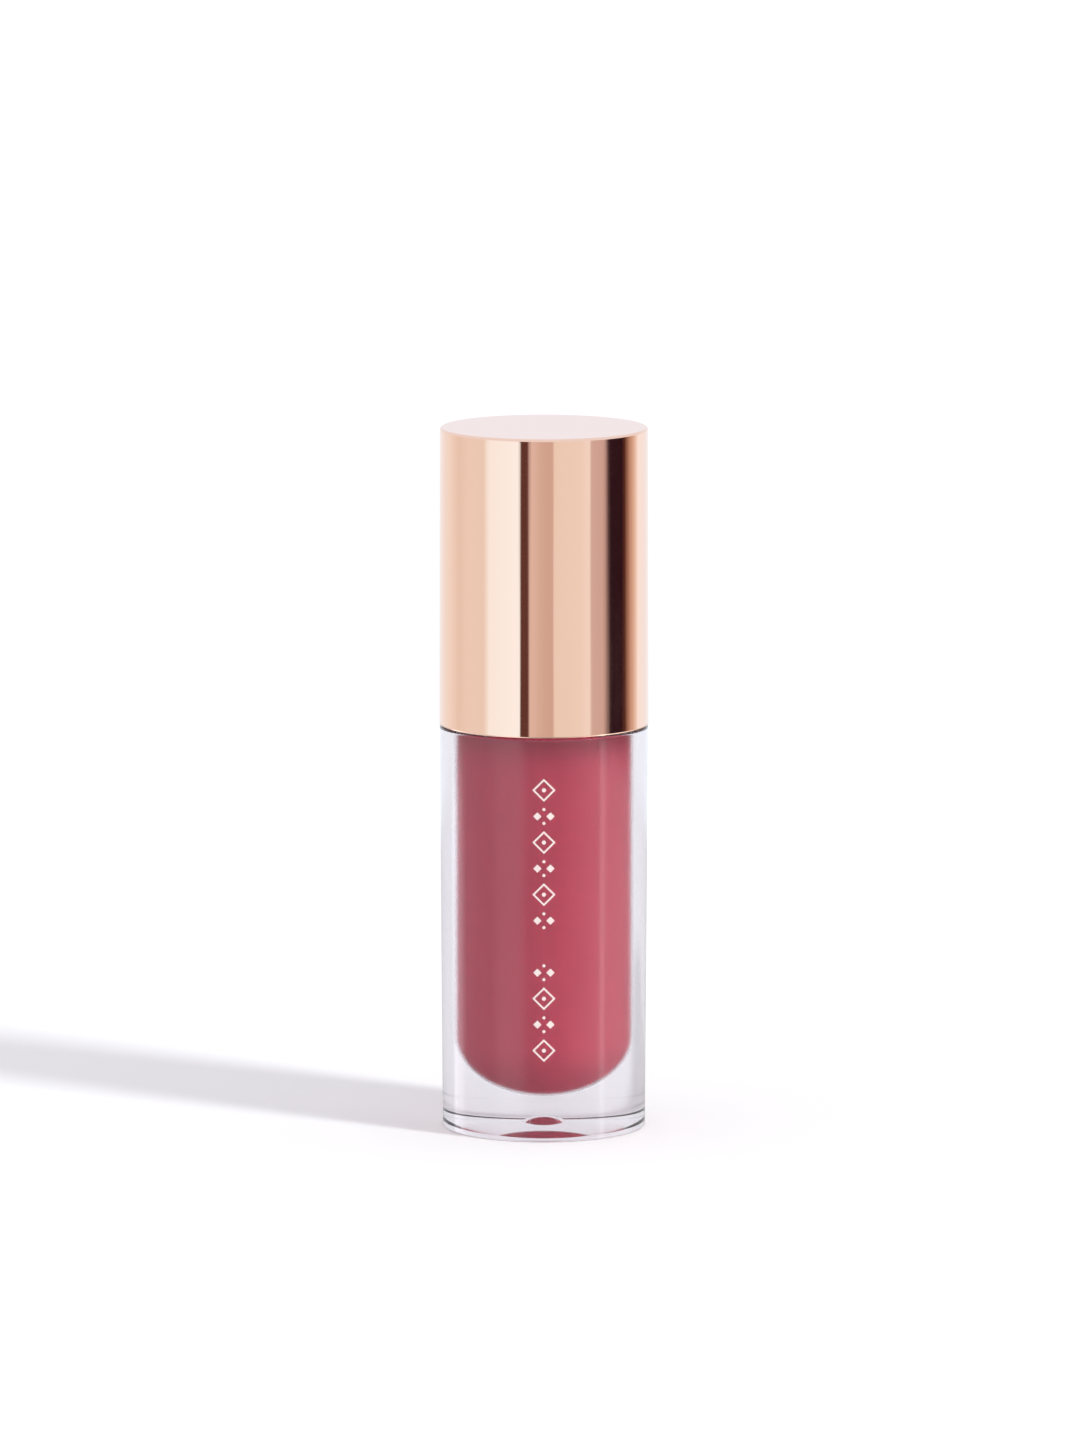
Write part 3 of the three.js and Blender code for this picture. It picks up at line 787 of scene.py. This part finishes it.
def foil_print():
    """Thin raised foil that follows the bottle's curved front."""
    points, faces = [], []

    def put(outline, lift):
        first = len(points)
        for across, up in outline:
            angle = across / wall_radius(up)
            radius = wall_radius(up) + lift
            points.append((radius * math.sin(angle) * MM, -radius * math.cos(angle) * MM, up * MM))
        return first

    for outer, inner in foil_marks():
        count = len(outer)
        filled = inner is None
        if filled:
            inner = [tuple(sum(p[axis] for p in outer) / count for axis in (0, 1))]
        top, bottom = FOIL_LIFT + FOIL_THICKNESS, FOIL_LIFT
        outer_top, inner_top = put(outer, top), put(inner, top)
        outer_bottom, inner_bottom = put(outer, bottom), put(inner, bottom)
        for k in range(count):
            n = (k + 1) % count
            faces.append((outer_bottom + k, outer_bottom + n, outer_top + n, outer_top + k))
            if filled:
                faces.append((outer_top + k, outer_top + n, inner_top))
                faces.append((outer_bottom + n, outer_bottom + k, inner_bottom))
            else:
                faces.append((outer_top + k, outer_top + n, inner_top + n, inner_top + k))
                faces.append((inner_top + k, inner_top + n, inner_bottom + n, inner_bottom + k))
                faces.append((inner_bottom + k, inner_bottom + n, outer_bottom + n, outer_bottom + k))
    return place("foil_ornament", (points, faces), foil(), "bottle_body", "foil")


# ---- Studio ----

CAMERA_PLACE = (-0.00037, -1.0, 0.1897)
CAMERA_DIP = math.radians(8.566)            # how far below the level it looks
CAMERA_LENS = 265.4                         # millimetres, for a sensor 36 mm wide
FLOOR_HALF = 3.0
FLOOR_DROP = 0.00003                        # keeps the floor clear of the base
KEY_ENERGY = 1.87
KEY_SOFTNESS = math.radians(9)
KEY_COLOUR = (1.0, 1.06, 1.04)

BACKDROP = (1.03, 1.03, 1.03)               # what the camera sees beyond the floor
MATT_LIGHT = (0.8, 0.785, 0.825)            # what lights everything that is lit directly
PLASTIC_LIGHT = (0.98, 0.97, 1.0)           # what is seen through the clear plastic
GLOSS_LIGHT = (1.88, 1.72, 1.77)            # what lights the gloss through the plastic, away from the key
GLOSS_KEY_LIGHT = (3.95, 4.1, 4.1)          # the same, round the key's direction
OVERHEAD = (0.93, 0.96, 1.05)               # what the metal mirrors above the panels
KEY_PANEL = (20, 50)                        # degrees from the key over which its panel fades out
PANEL_TOP = (0.02, 0.1)                     # heights on the unit sphere over which the panels end
PANEL_FEET = (-9.1, -9.4)                   # elevations over which HORIZON gives way to LOW_HORIZON
EDGE_WAVER = 0.004                          # turns by which the panels' edges stray


def camera():
    """A long lens, about a metre away and looking slightly down on the tube."""
    data = bpy.data.cameras.new("camera")
    data.lens = CAMERA_LENS
    data.sensor_width = 36
    data.clip_start = 0.05
    obj = bpy.data.objects.new("camera", data)
    obj.location = CAMERA_PLACE
    obj.rotation_euler = (math.pi / 2 - CAMERA_DIP, 0, 0)
    bpy.context.scene.collection.objects.link(obj)
    bpy.context.scene.camera = obj


def floor():
    corners = [(-FLOOR_HALF, -FLOOR_HALF), (FLOOR_HALF, -FLOOR_HALF), (FLOOR_HALF, FLOOR_HALF),
               (-FLOOR_HALF, FLOOR_HALF)]
    obj = mesh_object("floor", [(x, y, -FLOOR_DROP) for x, y in corners], [(0, 1, 2, 3)])
    obj.data.materials.append(pale_floor())
    obj.visible_glossy = False


def direction(azimuth, elevation):
    """A unit vector. Azimuth 0 is towards the front and 90 towards +X, in degrees."""
    azimuth, elevation = math.radians(azimuth), math.radians(elevation)
    return Vector((math.sin(azimuth) * math.cos(elevation), -math.cos(azimuth) * math.cos(elevation),
                   math.sin(elevation)))


KEY = direction(56, 35)


def key_light():
    """The one lamp that throws a shadow, from the right and a little in front."""
    data = bpy.data.lights.new("key", "SUN")
    data.energy = KEY_ENERGY
    data.angle = KEY_SOFTNESS
    data.color = KEY_COLOUR
    obj = bpy.data.objects.new("key", data)
    obj.rotation_mode = "QUATERNION"
    obj.rotation_quaternion = KEY.to_track_quat("Z", "Y")
    obj.visible_glossy = False
    bpy.context.scene.collection.objects.link(obj)


# What the metal mirrors round the horizon: (azimuth in degrees, colour). Panels are bright, and the gaps
# between them are dark. The stops were adjusted until the cap's bands matched the photographed cap's, so they
# stand for that one studio.
HORIZON = [
    (-180, (1.0, 1.08, 1.15)),
    (-150, (0.97, 1.03, 1.1)),
    (-126, (0.96, 0.96, 0.97)),
    (-108, (0.88, 0.82, 0.79)),
    (-92, (0.92, 0.89, 0.89)),
    (-70, (0.9, 0.88, 0.87)),
    (-63, (1.04, 1.22, 1.34)),
    (-28, (1.08, 1.3, 1.48)),
    (-25.5, (0.12, 0.05, 0.04)),
    (-18, (0.13, 0.05, 0.045)),
    (-14, (0.8, 0.68, 0.66)),
    (-2, (0.71, 0.58, 0.54)),
    (9, (0.69, 0.54, 0.5)),
    (12, (0.91, 0.89, 0.87)),
    (40, (0.93, 0.92, 0.92)),
    (51, (0.98, 0.99, 1.03)),
    (54, (0.7, 0.58, 0.58)),
    (69, (0.66, 0.52, 0.52)),
    (77, (0.03, 0.012, 0.02)),
    (96, (0.03, 0.01, 0.016)),
    (101, (0.13, 0.045, 0.03)),
    (110, (0.56, 0.36, 0.28)),
    (118, (0.8, 0.62, 0.53)),
    (128, (1.04, 1.12, 1.2)),
    (150, (0.98, 1.06, 1.16)),
    (180, (1.0, 1.08, 1.15)),
]
# The same further down, towards the table. From the camera's height the bottle's draft tips its reflections
# down to these, and the cap's stay above them. Seen from higher up, the cap mirrors these too.
LOW_HORIZON = [
    (-180, (0.6, 0.6, 0.6)),
    (-127, (0.6, 0.6, 0.65)),
    (-119, (2.2, 2.1, 2.3)),
    (-107, (1.9, 1.8, 1.9)),
    (-98, (0.9, 0.9, 0.95)),
    (-62, (0.75, 0.8, 0.85)),
    (-50, (1.1, 1.15, 1.15)),
    (-28, (1.1, 1.1, 1.15)),
    (-16, (0.5, 0.5, 0.5)),
    (16, (0.4, 0.4, 0.4)),
    (40, (0.7, 0.7, 0.7)),
    (62, (1.1, 1.05, 1.05)),
    (69, (2.5, 2.5, 2.5)),
    (76, (1.4, 1.35, 1.35)),
    (110, (1.2, 1.2, 1.2)),
    (125, (0.7, 0.7, 0.7)),
    (180, (0.6, 0.6, 0.6)),
]


def round_the_horizon(nodes, place_round, stops):
    """The colour at a place from 0 to 1 round the horizon, from a list of (azimuth in degrees, colour)."""
    ramp = nodes.add("ShaderNodeValToRGB")
    elements = ramp.color_ramp.elements
    for index, (degrees, colour) in enumerate(stops):
        position = (degrees + 180) / 360
        stop = elements[index] if index < 2 else elements.new(position)
        stop.position = position
        stop.color = (*colour, 1)
    nodes.link(place_round, ramp.inputs["Fac"])
    return ramp.outputs["Color"]


def mirrored_panels(nodes, towards):
    """What mirror reflections see: bands of panels and gaps round the horizon, and an even ceiling."""
    split = nodes.add("ShaderNodeSeparateXYZ")
    nodes.link(towards, split.inputs["Vector"])
    turn = nodes.math("ARCTAN2", split.outputs["X"], nodes.math("MULTIPLY", split.outputs["Y"], -1))
    waver = nodes.add("ShaderNodeTexNoise")
    waver.inputs["Scale"].default_value = 24
    nodes.link(towards, waver.inputs["Vector"])
    shift = nodes.spread(waver.outputs["Fac"], -EDGE_WAVER, EDGE_WAVER, 0.3, 0.7)
    place_round = nodes.math("ADD", nodes.math("MULTIPLY_ADD", turn, 1 / (2 * math.pi), 0.5), shift)
    high_edge, low_edge = (math.sin(math.radians(elevation)) for elevation in PANEL_FEET)
    low = nodes.spread(split.outputs["Z"], 1, 0, low_edge, high_edge)
    banded = nodes.blend(low, round_the_horizon(nodes, place_round, HORIZON),
                         round_the_horizon(nodes, place_round, LOW_HORIZON))
    overhead = nodes.spread(split.outputs["Z"], 0, 1, *PANEL_TOP)
    return nodes.blend(overhead, banded, OVERHEAD)


def light_on_gloss(nodes, towards):
    """What lights the gloss behind the clear wall, where the lamp's light doesn't reach it."""
    facing = nodes.add("ShaderNodeVectorMath", operation="DOT_PRODUCT")
    facing.inputs[1].default_value = KEY
    nodes.link(towards, facing.inputs[0])
    full, none = (math.cos(math.radians(angle)) for angle in KEY_PANEL)
    key_panel = nodes.spread(facing.outputs["Value"], 0, 1, none, full)
    return nodes.blend(key_panel, GLOSS_LIGHT, GLOSS_KEY_LIGHT)


def studio():
    """A world that differs by the kind of ray that meets it.

    It is white for the camera, even on matt surfaces, panels and gaps in mirror reflections, and pale through
    clear plastic, except for rays that gather the light on the gloss inside.
    """
    world = bpy.data.worlds.new("studio")
    world.use_nodes = True
    bpy.context.scene.world = world
    nodes = Nodes(world.node_tree)
    towards = nodes.add("ShaderNodeTexCoord").outputs["Generated"]
    path = nodes.add("ShaderNodeLightPath")
    on_gloss = nodes.math("GREATER_THAN", path.outputs["Diffuse Depth"], 0.5)
    through_wall = nodes.blend(on_gloss, PLASTIC_LIGHT, light_on_gloss(nodes, towards))
    lit = nodes.blend(path.outputs["Is Glossy Ray"], MATT_LIGHT, mirrored_panels(nodes, towards))
    seen = nodes.blend(path.outputs["Is Camera Ray"], lit, BACKDROP)
    final = nodes.blend(path.outputs["Is Transmission Ray"], seen, through_wall)
    nodes.link(final, world.node_tree.nodes["Background"].inputs["Color"])


def colour_management():
    scene = bpy.context.scene
    scene.view_settings.view_transform = "Standard"
    scene.view_settings.look = "None"


for build in (bottle, gloss_fill, wiper, washer, weight, cap_shell, inner_cap, stem, tip_core, tip_flocking,
              foil_print):
    build()
camera()
floor()
key_light()
studio()
colour_management()
